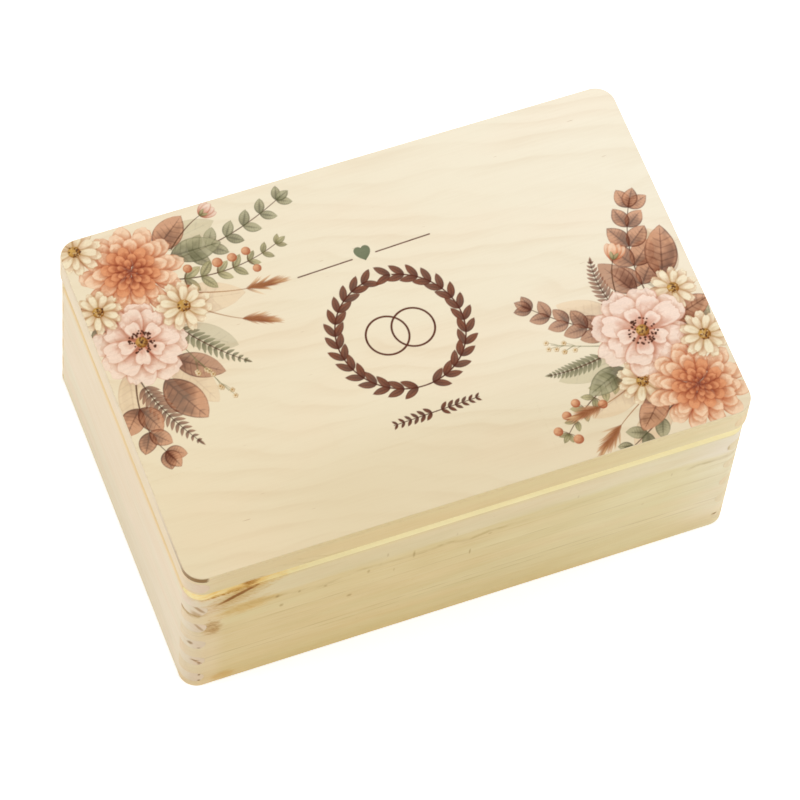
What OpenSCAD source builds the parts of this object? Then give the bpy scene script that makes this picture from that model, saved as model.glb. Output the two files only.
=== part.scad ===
// Keepsake box of solid pine with a hinged lid.
// The long walls take the end walls' round-nosed dovetails, a V groove parts the
// lid from the box all round, and the lid turns on two small butt hinges at the back.
// X runs along the long walls, -Y is the front, and Z = 0 is the face it rests on.

/* [Box] */
// Width of the box body, left to right
body_w = 300; // [240:5:400]
// Depth of the box body, front to back
body_d = 200; // [150:5:300]
// Height of the box body, up to the parting line
body_h = 103; // [70:1:180]
// Thickness of the four box walls
wall_t = 10; // [9:0.5:14]
// Radius of the box body's upright corners
corner_r = 9.5; // [6:0.5:18]
// Eased edge around the foot of the walls
foot_ease = 0.8; // [0.4:0.1:1.5]

/* [Bottom panel] */
// Thickness of the plywood bottom
bottom_t = 4; // [3:0.5:6]
// How far the bottom runs into the walls' rabbet
bottom_rabbet = 5; // [3:0.5:6]
// Clearance between the bottom and its rabbet
bottom_gap = 0.15; // [0.1:0.05:0.3]

/* [Lid] */
// Height of the lid's frame, above the parting line
lid_frame_h = 18; // [16:1:40]
// Thickness of the plywood top
lid_panel_t = 4; // [3:0.5:6]
// How far the lid stands proud of the box on each side
lid_overhang = 1; // [0.5:0.25:1.5]
// Eased edge around the face of the plywood top
panel_ease = 0.4; // [0.2:0.1:0.8]
// Running gap between the lid's rim and the box's rim
rim_gap = 0.3; // [0.2:0.05:0.5]
// Depth of the V groove's lower flank, from the box walls' face
groove_depth = 3.5; // [2.5:0.25:4]
// Eased edge along the outer edges of the groove and the foot
edge_ease = 0.7; // [0.3:0.1:1]

/* [Dovetails] */
// Half the height of a tail where it shows on the long wall
tail_r = 4.75; // [3.5:0.25:5]
// Slope of a tail's flanks, in degrees
tail_angle = 7; // [5:0.5:9]
// Height of the lowest tail's middle above the foot
tail_first = 11; // [7:0.5:14]
// Distance from tail to tail
tail_pitch = 19; // [16:0.5:26]
// Least wood between the highest tail and the groove
tail_margin = 3; // [2:0.5:5]
// Glue line around the tails and at the shoulders
glue_gap = 0.1; // [0.05:0.05:0.2]

/* [Hinges] */
// Length of a hinge
hinge_l = 30; // [24:1:40]
// Distance from the box's end to the middle of a hinge
hinge_inset = 45; // [35:1:70]
// Thickness of a hinge leaf
leaf_t = 1; // [0.8:0.1:1.2]
// Outer radius of the knuckles
knuckle_r = 2; // [1.7:0.1:2.2]
// Number of knuckles, an odd number
knuckle_count = 5; // [3:2:5]
// Gap between neighbouring knuckles
knuckle_gap = 0.2; // [0.1:0.05:0.3]
// Radius of the hinge pin
pin_r = 1; // [0.8:0.05:1.1]
// Radial clearance of the pin in its knuckles
pin_clearance = 0.05; // [0.03:0.01:0.1]
// How far the pin lies behind the bottom of the V groove
pin_offset = 0.8; // [0.7:0.05:1.2]
// Clearance around the hinge in the wood
mortise_gap = 0.3; // [0.2:0.05:0.5]

/* [Hinge screws] */
// Distance between the two screws of a leaf
screw_spacing = 18; // [14:1:20]
// Radius of a screw's head
screw_head_r = 1.8; // [1.6:0.1:2]
// Radius of a screw's shank
screw_shank_r = 0.9; // [0.8:0.05:1]
// Length of a screw
screw_l = 8; // [6:0.5:10]
// Clearance around a screw in the leaf and in the wood
screw_gap = 0.05; // [0.03:0.01:0.1]
// Width of the cross cut in a screw's head
cross_w = 0.45; // [0.35:0.05:0.6]
// Depth of the cross cut in a screw's head
cross_depth = 0.5; // [0.4:0.05:0.6]

/* [Hidden] */
$fn = 64;
// Cutting tools run this far past the face that they leave
past = 1;

pine = "#e2cfa4";
birch = "#ecdcb8";
brass = "#c9a455";
steel = "#b9b9b4";

// Slope of the groove's flanks and of the eased edges' cuts, and the facets of an edge
cut_angle = 45;
ease_steps = 3;

// Least radius of the bottom panel's corners, where thick walls leave none
least_corner_r = 1;

// Lid outline, which follows the box's outline at the overhang
lid_w = body_w + 2 * lid_overhang;
lid_d = body_d + 2 * lid_overhang;
lid_corner_r = corner_r + lid_overhang;
lid_wall_t = wall_t + lid_overhang;
lid_groove_depth = groove_depth + lid_overhang;

// Heights of the rims on either side of the parting line
box_rim_z = body_h - rim_gap / 2;
lid_rim_z = body_h + rim_gap / 2;
lid_frame_top_z = body_h + lid_frame_h;

// Inside of the box, which the lid's frame lines up with
inner_w = body_w - 2 * wall_t;
inner_d = body_d - 2 * wall_t;

// Tails that fit under the groove, and the one in the lid's frame
tail_room = body_h - groove_depth - tail_margin - tail_r - tail_first;
tail_count = 1 + floor(tail_room / tail_pitch);
box_tails = [for (i = [0:tail_count - 1]) tail_first + i * tail_pitch];
lid_tails = [body_h + (lid_groove_depth + lid_frame_h) / 2];

// Hinge axis, and where the hinges stand along it
pin_y = body_d / 2 - groove_depth + pin_offset;
hinge_x = body_w / 2 - hinge_inset;
knuckle_pitch = hinge_l / knuckle_count;
leaf_edge = pin_y - inner_d / 2 - glue_gap;
screw_y = (leaf_edge + knuckle_r) / 2;
screw_head_h = screw_head_r - screw_shank_r;
screw_tip_h = 2 * screw_shank_r;

// Outlines

// Arc that eases the edge between a block's upright face and a cut at 45 degrees:
// z is where the arc leaves the upright face
function eased_edge(half, z, ease, from) =
    let (r = ease / tan(cut_angle / 2))
    [
        for (i = [0:ease_steps])
            let (a = from + cut_angle * i / ease_steps)
            [half - r + r * cos(a), z + r * sin(a)]
    ];

// Half of a block's upright section, with its foot and its head cut at 45 degrees
function half_section(half, h, foot_cut, head_cut, ease) = [
    [0, 0],
    [half - foot_cut, 0],
    if (foot_cut > 0) each eased_edge(half, foot_cut + ease, ease, -cut_angle),
    if (head_cut > 0) each eased_edge(half, h - head_cut - ease, ease, 0),
    [half - head_cut, h],
    [0, h]
];

// Block with round upright corners, whose bevels run on around the corners
module rounded_block(w, d, r, h, foot_cut = 0, head_cut = 0, ease = edge_ease) {
    module run(half, length) {
        rotate([90, 0, 0])
            linear_extrude(height = length, center = true)
                union() {
                    polygon(half_section(half, h, foot_cut, head_cut, ease));
                    mirror([1, 0]) polygon(half_section(half, h, foot_cut, head_cut, ease));
                }
    }
    run(w / 2, d - 2 * r);
    rotate([0, 0, 90]) run(d / 2, w - 2 * r);
    for (x = [-1, 1], y = [-1, 1])
        translate([x * (w / 2 - r), y * (d / 2 - r), 0])
            rotate_extrude() polygon(half_section(r, h, foot_cut, head_cut, ease));
}

module box_outline() {
    rounded_block(body_w, body_d, corner_r, box_rim_z,
        foot_cut = foot_ease, head_cut = groove_depth - rim_gap / 2);
}

module lid_outline() {
    translate([0, 0, lid_rim_z])
        rounded_block(lid_w, lid_d, lid_corner_r, lid_frame_top_z - lid_rim_z,
            foot_cut = lid_groove_depth - rim_gap / 2);
}

// Dovetails

// One tail across the long wall at the left front corner, or with a gap around it
// the socket that it fills. Its round nose points to the middle of the long wall.
module tail(w, d, t, gap, root) {
    slope = tan(tail_angle);
    root_r = tail_r - (t + root) * slope + gap;
    tip_r = tail_r + past * slope + gap;
    length = t + root + past;
    nose_x = t - tail_r;
    translate([-w / 2 + nose_x, -d / 2 + t + root, 0])
        rotate([90, 0, 0]) {
            cylinder(h = length, r1 = root_r, r2 = tip_r);
            rotate([0, -90, 0])
                linear_extrude(height = nose_x + past)
                    polygon([[0, -root_r], [length, -tip_r], [length, tip_r], [0, root_r]]);
        }
}

// The same tail at all four corners, at each height in the list
module tails(heights, w, d, t, gap = 0, root = 0) {
    for (z = heights, x = [0, 1], y = [0, 1])
        mirror([x, 0, 0])
            mirror([0, y, 0])
                translate([0, 0, z]) tail(w, d, t, gap, root);
}

// Boards

// Blank of a frame's front board, as long as the frame
module long_blank(w, d, t, z_low, z_high) {
    translate([-w / 2, -d / 2, z_low]) cube([w, t, z_high - z_low]);
}

// Blank of a frame's left board, between the shoulders of the long boards
module end_blank(w, d, t, z_low, z_high) {
    translate([-w / 2, -d / 2 + t + glue_gap, z_low])
        cube([t, d - 2 * t - 2 * glue_gap, z_high - z_low]);
}

// Rabbet for the bottom panel, or with a gap the panel itself
module bottom_plate(gap, h) {
    lap = wall_t - bottom_rabbet + gap;
    rounded_block(body_w - 2 * lap, body_d - 2 * lap, max(corner_r - lap, least_corner_r), h);
}

module bottom_rabbet_cut() {
    translate([0, 0, -past]) bottom_plate(0, bottom_t + bottom_gap + past);
}

// Long wall at the front
module long_wall() {
    difference() {
        intersection() {
            box_outline();
            long_blank(body_w, body_d, wall_t, 0, body_h);
        }
        tails(box_tails, body_w, body_d, wall_t, gap = glue_gap, root = past);
        bottom_rabbet_cut();
    }
}

// End wall at the left
module end_wall() {
    difference() {
        intersection() {
            box_outline();
            union() {
                end_blank(body_w, body_d, wall_t, 0, body_h);
                intersection() {
                    tails(box_tails, body_w, body_d, wall_t, root = past);
                    translate([-body_w / 2 - past, -body_d / 2 - past, 0])
                        cube([wall_t + past, body_d + 2 * past, body_h]);
                }
            }
        }
        bottom_rabbet_cut();
    }
}

// Long rail of the lid at the front
module long_rail() {
    difference() {
        intersection() {
            lid_outline();
            long_blank(lid_w, lid_d, lid_wall_t, body_h, lid_frame_top_z);
        }
        tails(lid_tails, lid_w, lid_d, lid_wall_t, gap = glue_gap, root = past);
    }
}

// End rail of the lid at the left
module end_rail() {
    intersection() {
        lid_outline();
        union() {
            end_blank(lid_w, lid_d, lid_wall_t, body_h, lid_frame_top_z);
            intersection() {
                tails(lid_tails, lid_w, lid_d, lid_wall_t, root = past);
                translate([-lid_w / 2 - past, -lid_d / 2 - past, body_h])
                    cube([lid_wall_t + past, lid_d + 2 * past, lid_frame_h]);
            }
        }
    }
}

// Hinges, drawn at the origin with the pin along X and the box leaf below

module at_hinge(side) {
    translate([side * hinge_x, pin_y, body_h]) children();
}

// Turns a piece of the box leaf over, onto the lid leaf's side
module lid_side() {
    mirror([0, 0, 1]) children();
}

module along_pin(r, length) {
    rotate([0, 90, 0]) cylinder(h = length, r = r, center = true);
}

// Centres of the knuckles of one leaf: the box leaf has those at the ends
function knuckle_centres(first) = [
    for (i = [first:2:knuckle_count - 1]) (i + 0.5) * knuckle_pitch - hinge_l / 2
];

module knuckles(first, r, length) {
    for (x = knuckle_centres(first))
        translate([x, 0, 0]) along_pin(r, length);
}

module at_screws() {
    for (x = [-1, 1])
        translate([x * screw_spacing / 2, -screw_y, -rim_gap / 2]) children();
}

// Countersunk head and shank down to a depth, or with a gap the hole for them
module screw_body(depth, gap = 0) {
    translate([0, 0, -screw_head_h])
        cylinder(h = screw_head_h, r1 = screw_shank_r + gap, r2 = screw_head_r + gap);
    translate([0, 0, -depth])
        cylinder(h = depth - screw_head_h, r = screw_shank_r + gap);
}

// Leaf in its mortise, with the knuckles that start at the given one
module leaf(first) {
    difference() {
        union() {
            translate([-hinge_l / 2, -leaf_edge, -rim_gap / 2 - leaf_t])
                cube([hinge_l, leaf_edge, leaf_t]);
            knuckles(first, knuckle_r, knuckle_pitch - knuckle_gap);
        }
        knuckles(1 - first, knuckle_r + knuckle_gap, knuckle_pitch + knuckle_gap);
        along_pin(pin_r + pin_clearance, hinge_l + 2 * past);
        at_screws() screw_body(leaf_t + past, screw_gap);
    }
}

module box_leaf() {
    leaf(0);
}

module lid_leaf() {
    lid_side() leaf(1);
}

module pin() {
    along_pin(pin_r, hinge_l);
}

module screws() {
    at_screws()
        translate([0, 0, -screw_gap])
            difference() {
                union() {
                    screw_body(screw_l - screw_tip_h);
                    translate([0, 0, -screw_l])
                        cylinder(h = screw_tip_h, r1 = screw_shank_r / 4, r2 = screw_shank_r);
                }
                for (a = [0, 90])
                    rotate([0, 0, a])
                        cube([2 * screw_shank_r, cross_w, 2 * cross_depth], center = true);
            }
}

// Mortise for the box leaf, the round channel for the knuckles and the pilot holes
module hinge_mortise() {
    channel_l = hinge_l + 2 * mortise_gap;
    translate([-channel_l / 2, -leaf_edge - past, -rim_gap / 2 - leaf_t])
        cube([channel_l, leaf_edge + past, leaf_t + rim_gap]);
    along_pin(knuckle_r + mortise_gap, channel_l);
    at_screws() screw_body(screw_l, screw_gap);
}

// Sub-parts of the box

module front_wall() {
    color(pine) long_wall();
}

module back_wall() {
    color(pine)
        difference() {
            mirror([0, 1, 0]) long_wall();
            for (side = [-1, 1]) at_hinge(side) hinge_mortise();
        }
}

module left_wall() {
    color(pine) end_wall();
}

module right_wall() {
    color(pine) mirror([1, 0, 0]) end_wall();
}

module bottom_panel() {
    color(birch) bottom_plate(bottom_gap, bottom_t);
}

// Sub-parts of the lid

module lid_front_rail() {
    color(pine) long_rail();
}

module lid_back_rail() {
    color(pine)
        difference() {
            mirror([0, 1, 0]) long_rail();
            for (side = [-1, 1]) at_hinge(side) lid_side() hinge_mortise();
        }
}

module lid_left_rail() {
    color(pine) end_rail();
}

module lid_right_rail() {
    color(pine) mirror([1, 0, 0]) end_rail();
}

module lid_panel() {
    color(birch)
        translate([0, 0, lid_frame_top_z])
            rounded_block(lid_w, lid_d, lid_corner_r, lid_panel_t,
                head_cut = panel_ease, ease = panel_ease);
}

// Sub-parts of the hinges

module hinge_box_leaf(side) {
    color(brass) at_hinge(side) box_leaf();
}

module hinge_lid_leaf(side) {
    color(brass) at_hinge(side) lid_leaf();
}

module hinge_pin(side) {
    color(steel) at_hinge(side) pin();
}

module hinge_box_screws(side) {
    color(brass) at_hinge(side) screws();
}

module hinge_lid_screws(side) {
    color(brass) at_hinge(side) lid_side() screws();
}

front_wall();
back_wall();
left_wall();
right_wall();
bottom_panel();
lid_front_rail();
lid_back_rail();
lid_left_rail();
lid_right_rail();
lid_panel();
hinge_box_leaf(-1);  // left_hinge_box_leaf
hinge_lid_leaf(-1);  // left_hinge_lid_leaf
hinge_pin(-1);  // left_hinge_pin
hinge_box_screws(-1);  // left_hinge_box_screws
hinge_lid_screws(-1);  // left_hinge_lid_screws
hinge_box_leaf(1);  // right_hinge_box_leaf
hinge_lid_leaf(1);  // right_hinge_lid_leaf
hinge_pin(1);  // right_hinge_pin
hinge_box_screws(1);  // right_hinge_box_screws
hinge_lid_screws(1);  // right_hinge_lid_screws
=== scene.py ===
import math
import bpy
import numpy as np
from mathutils import Matrix, Vector


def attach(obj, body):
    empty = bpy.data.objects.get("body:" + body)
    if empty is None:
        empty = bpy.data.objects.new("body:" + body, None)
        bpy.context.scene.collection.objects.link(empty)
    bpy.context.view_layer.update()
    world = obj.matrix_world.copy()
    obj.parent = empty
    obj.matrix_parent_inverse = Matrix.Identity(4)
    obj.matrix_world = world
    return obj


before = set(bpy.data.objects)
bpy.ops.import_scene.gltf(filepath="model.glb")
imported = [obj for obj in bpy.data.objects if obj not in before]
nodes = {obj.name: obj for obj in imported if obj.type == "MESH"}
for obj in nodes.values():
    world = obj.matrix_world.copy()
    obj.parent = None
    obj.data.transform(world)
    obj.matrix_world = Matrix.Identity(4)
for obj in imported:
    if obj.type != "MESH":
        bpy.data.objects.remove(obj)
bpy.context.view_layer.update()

print("stage 1: frame loaded")

# View: the photograph's angle, as an orbit about a point near the middle of the box
camera = {
    "target": (-0.00103, -0.00699, 0.06),
    "azimuth": -26.979,
    "elevation": 61.323,
    "roll": 7.077,
    "distance": 2.5548,
    "lens": 223.87,
    "sensor": 36,
    "reach": 50,
}

# Light: a soft lamp from each side of the box, an even white world and a white floor
lights = {
    "back": {"at": (0.45, 0.65, 0.95), "size": 0.7, "power": 5.9, "tint": (1, 0.99, 0.98)},
    "side": {"at": (-1.5, 0.1, 0.9), "size": 1, "power": 11, "tint": (1, 0.98, 0.96)},
    "front": {"at": (0.75, -1.25, 0.95), "size": 1, "power": 11, "tint": (1, 0.99, 0.97)},
    "world": 0.37,
    "floor": (0.9, 0.906, 0.925),
    "floorGlow": 0.46,
    "floorSize": 6,
    "floorDrop": 0.0002,
}


def newObject(name, data):
    obj = bpy.data.objects.new(name, data)
    bpy.context.scene.collection.objects.link(obj)
    return obj


def placeCamera(c):
    azimuth, elevation, roll = (math.radians(c[key]) for key in ("azimuth", "elevation", "roll"))
    level = math.cos(elevation)
    back = Vector((math.sin(azimuth) * level, -math.cos(azimuth) * level, math.sin(elevation)))
    eye = Vector(c["target"]) + back * c["distance"]
    turn = back.to_track_quat("Z", "Y").to_matrix().to_4x4()
    data = bpy.data.cameras.new("view")
    data.lens = c["lens"]
    data.sensor_width = c["sensor"]
    data.sensor_fit = "HORIZONTAL"
    data.clip_end = c["reach"]
    obj = newObject("view", data)
    obj.matrix_world = Matrix.Translation(eye) @ turn @ Matrix.Rotation(roll, 4, "Z")
    bpy.context.scene.camera = obj


def placeLamp(name, l):
    data = bpy.data.lights.new(name, "AREA")
    data.shape = "DISK"
    data.size = l["size"]
    data.energy = l["power"]
    data.color = l["tint"]
    aim = Vector(camera["target"]) - Vector(l["at"])
    turn = aim.to_track_quat("-Z", "Y").to_matrix().to_4x4()
    newObject(name, data).matrix_world = Matrix.Translation(l["at"]) @ turn


# Shader helpers: they build in the newest material's tree. add() makes a node, and i0, i1 and so
# on name its inputs by number.
trees = []


def add(kind, settings=None, **sockets):
    n = trees[-1].nodes.new(kind)
    for key, value in (settings or {}).items():
        setattr(n, key, value)
    for key, value in sockets.items():
        numbered = key[0] == "i" and key[1:].isdigit()
        plug(n.inputs[int(key[1:]) if numbered else key], value)
    return n


def plug(socket, value):
    if isinstance(value, bpy.types.NodeSocket):
        trees[-1].links.new(value, socket)
    elif isinstance(value, bpy.types.Node):
        trees[-1].links.new(value.outputs[0], socket)
    else:
        socket.default_value = value


def calc(what, a, b=0, c=0, clamp=False):
    n = add("ShaderNodeMath", {"operation": what, "use_clamp": clamp}, i0=a, i1=b, i2=c)
    return n.outputs[0]


def times(a, *factors):
    for b in factors:
        a = calc("MULTIPLY", a, b)
    return a


# a * factor + shift
def scaled(a, factor, shift):
    return calc("MULTIPLY_ADD", a, factor, shift)


def less(a, b):
    return calc("SUBTRACT", a, b)


# Distance of a value from another, or its size alone
def apart(a, b=None):
    return calc("ABSOLUTE", a if b is None else less(a, b))


# sqrt(a^2 + b^2)
def diagonal(a, b):
    return calc("SQRT", scaled(a, a, times(b, b)))


def vec(what, a, b):
    return add("ShaderNodeVectorMath", {"operation": what}, i0=a, i1=b).outputs[0]


def parts(vector):
    return add("ShaderNodeSeparateXYZ", None, Vector=vector).outputs


def join(x, y, z):
    return add("ShaderNodeCombineXYZ", None, X=x, Y=y, Z=z).outputs[0]


# Place on a piece in millimetres, and the way its surface faces
def placed():
    coords = add("ShaderNodeTexCoord").outputs
    return vec("MULTIPLY", coords["Object"], (1000, 1000, 1000)), coords["Normal"]


# Map range: from low..high to toLow..toHigh, held at its ends
def span(value, low, high, toLow=0, toHigh=1, kind="SMOOTHSTEP"):
    n = add("ShaderNodeMapRange", {"interpolation_type": kind}, Value=value)
    for key, v in (("From Min", low), ("From Max", high), ("To Min", toLow), ("To Max", toHigh)):
        plug(n.inputs[key], v)
    return n.outputs[0]


# Noise: a row holds its cells per millimetre along three axes, detail and roughness, and in
# some the span that it is cut to. Output 0 is a level, and output 1 is three of them.
def cloud(point, row, output=0):
    stretch, detail, rough, *cut = row
    level = add("ShaderNodeTexNoise", None, Vector=vec("MULTIPLY", point, stretch),
                Scale=1, Detail=detail, Roughness=rough).outputs[output]
    return span(level, *cut[0]) if cut else level


# A mix node has its factor at input 0, its colours at inputs 6 and 7, and the mix at output 2
def blendColour(amount, a, b, kind="MIX"):
    n = add("ShaderNodeMix", {"data_type": "RGBA", "blend_type": kind})
    for k, v in ((0, amount), (6, a), (7, b)):
        plug(n.inputs[k], (*v, 1) if isinstance(v, tuple) and len(v) == 3 else v)
    return n.outputs[2]


def product(a, b):
    return blendColour(1, a, b, "MULTIPLY")


def tinted(mask, colour, tint):
    return blendColour(mask, colour, product(colour, tint))


# Absorb: the light that is left goes down as tint^amount, so thin stains stay as warm as deep ones
def absorb(amount, colour, tint):
    left = add("ShaderNodeGamma", None, Color=(*tint, 1), Gamma=amount)
    return product(colour, left.outputs[0])


def curve(value, stops):
    n = add("ShaderNodeValToRGB", None, Fac=value)
    ramp = n.color_ramp
    ramp.interpolation = "EASE"
    while len(ramp.elements) < len(stops):
        ramp.elements.new(0.5)
    for e, (at, level) in zip(ramp.elements, stops):
        e.position = at
        e.color = (level, level, level, 1) if np.isscalar(level) else (*level, 1)
    return n.outputs[0]


def newMaterial(name):
    mat = bpy.data.materials.new(name)
    mat.use_nodes = True
    mat.node_tree.nodes.clear()
    trees.append(mat.node_tree)
    return mat


def finish(colour, rough, height, relief, **fixed):
    bump = add("ShaderNodeBump", None, Strength=1, Distance=relief, Height=height)
    shader = add("ShaderNodeBsdfPrincipled", None, Roughness=rough, Normal=bump)
    plug(shader.inputs["Base Color"], colour)
    for key, value in fixed.items():
        shader.inputs[key.replace("_", " ")].default_value = value
    add("ShaderNodeOutputMaterial", None, Surface=shader)


def dress(name, mat):
    nodes[name].data.materials.clear()
    nodes[name].data.materials.append(mat)


def floorMaterial():
    mat = newMaterial("floorPale")
    ray = add("ShaderNodeLightPath").outputs
    seen = calc("MAXIMUM", ray["Is Camera Ray"], ray["Is Glossy Ray"])
    glow = add("ShaderNodeEmission", None, Strength=times(seen, lights["floorGlow"]))
    matte = add("ShaderNodeBsdfDiffuse", None, Color=(*lights["floor"], 1))
    both = add("ShaderNodeAddShader", None, i0=matte, i1=glow)
    add("ShaderNodeOutputMaterial", None, Surface=both)
    return mat


placeCamera(camera)
for lampName in ("back", "side", "front"):
    placeLamp(lampName, lights[lampName])
world = bpy.data.worlds.new("studio")
bpy.context.scene.world = world
world.use_nodes = True
sky = world.node_tree.nodes["Background"].inputs
sky["Color"].default_value = (1, 1, 1, 1)
sky["Strength"].default_value = lights["world"]
half = lights["floorSize"] / 2
corners = [(-half, -half, 0), (half, -half, 0), (half, half, 0), (-half, half, 0)]
floorMesh = bpy.data.meshes.new("floor")
floorMesh.from_pydata(corners, [], [(0, 1, 2, 3)])
floor = newObject("floor", floorMesh)
floor.location.z = -lights["floorDrop"]
floorMesh.materials.append(floorMaterial())
bpy.context.scene.view_settings.view_transform = "Standard"
print("stage 2: camera, lamps and floor")

# Pine: every length is in millimetres, in a board's own frame (along the grain, through, up)
pine = {
    "early": (0.875, 0.735, 0.455),
    "late": (0.74, 0.53, 0.27),
    "endGrain": (0.98, 0.93, 0.94),
    "flank": (0.985, 0.885, 0.52),  # flanks of the V groove: fresh-cut wood, made brighter as a painted highlight
    "spacing": 2.7,  # from growth ring to growth ring
    "ring": ((0, 0), (0.35, 0.08), (0.78, 0.7), (0.92, 1), (1, 0)),  # its darkness
    "bend": 5,  # slow bends of the rings
    "ripple": 0.7,  # small ones
    "wander": 3.2,  # how unevenly the rings are spaced
    "swell": -0.22,  # how fast a knot's push on the rings dies away
    "contrast": 0.3,
    "patch": 0.55,  # how far soft patches change the tone
    "tones": ((-150, (1, 1, 1)),),  # tones along the board
    "brightest": 1.25,  # no tone is above this
    "reach": {"x": 150, "y": 100},  # half a board's length, by the way its grain runs
    "low": (0.95, 0.93, 0.87),  # painted shade near its lower edge
    "fade": (38, 6),  # heights between which that painted shade comes in
    "rag": 1.3,  # how ragged the edges of stains are
    "stains": (),
    "endStains": (),
    "streaks": (),
    "lines": (),
    "spots": (),
    "gapShade": 0.55,  # how dark the painted shade is in the small voids at the ends of the tails' glue lines
    "gapSize": (1.3, 0.5),
    "inGroove": 98,  # stains above this height lie on the groove's flanks too
    "lipEdge": (144.5, 145),  # the outermost millimetres of the groove
    "gloss": 0.12,
    "relief": 0.00022,
}
pineTints = {
    "patches": ((0.95, 0.925, 0.85), (1.045, 1.055, 1.1)),
    "drift": ((1.01, 0.985, 0.97), (0.985, 1, 0.985)),
    "flank": ((0.9, 0.86, 0.78), (1.08, 1.1, 1.16)),
    "fleck": (0.72, 0.6, 0.45),
    "halo": (0.78, 0.7, 0.48),
    "streak": (0.6, 0.5, 0.3),
    "line": (0.6, 0.5, 0.34),
    # gap: painted shade in the small voids at the tails' noses
    "gap": (0.24, 0.15, 0.08),
    "spot": (0.3, 0.19, 0.1),
}
pineNoise = {
    "bends": ((0.005, 0.022, 0.022), 1, 0.5),
    "ripples": ((0.022, 0.11, 0.11), 2, 0.5),
    "wander": ((0.09, 1, 1), 2, 0.5),
    "clear": ((0.01, 0.06, 0.06), 3, 0.5, (0.36, 0.66, 0.1, 1)),
    "fibre": ((0.03, 1.3, 1.3), 4, 0.62),
    "drift": ((0.006, 0.05, 0.05), 2, 0.5),
    "patchy": ((0.022, 0.16, 0.16), 4, 0.6),
    "fleck": ((0.22, 0.55, 0.55), 2, 0.5, (0.7, 0.8)),
    "rag": ((0.16, 0.35, 0.35), 3, 0.6),
    "slivers": ((0.55, 0.16, 1), 2, 0.6, (0.42, 0.6, -0.5, 0.5)),
    "torn": ((0.13, 0.9, 0.9), 3, 0.6, (0.42, 0.58, -0.5, 0.5)),
    "dashes": ((0.13, 0.3, 0.3), 2, 0.5, (0.38, 0.62, 0.45, 1.1)),
    "sway": ((1, 1, 1), 3, 0.5),
    "broken": ((1, 1, 1), 2, 0.5, (0.4, 0.6, 0.25, 1)),
    "some": ((0.11, 0.11, 0.11), 0, 0.5, (0.5, 0.58)),
}
# Joints: height of the lowest tail and step to the next, height of the lid's tail, how far from
# a board's middle the ends of the glue lines lie, and half a tail's height there
joints = {"first": 11, "pitch": 19, "lid": 114.25, "nose": 141, "half": 4.6}

# A spot's row: place, radii, strength. The front and the ends share those at the corners.
cornerSpots = (
    (-147.3, 49.8, 1.1, 1.6, 0.55), (-143.5, 45.5, 0.9, 0.9, 0.3),
    (-142.6, 14, 0.7, 0.8, 0.75), (-142.6, 7.6, 0.8, 0.7, 0.7),
    (-145, 31, 2.2, 0.6, 0.35), (-143, 27.5, 0.9, 1.6, 0.35),
    (141.6, 13.2, 1.5, 0.9, 0.7), (140.6, 86.5, 0.8, 2.6, 0.16),
)
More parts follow.
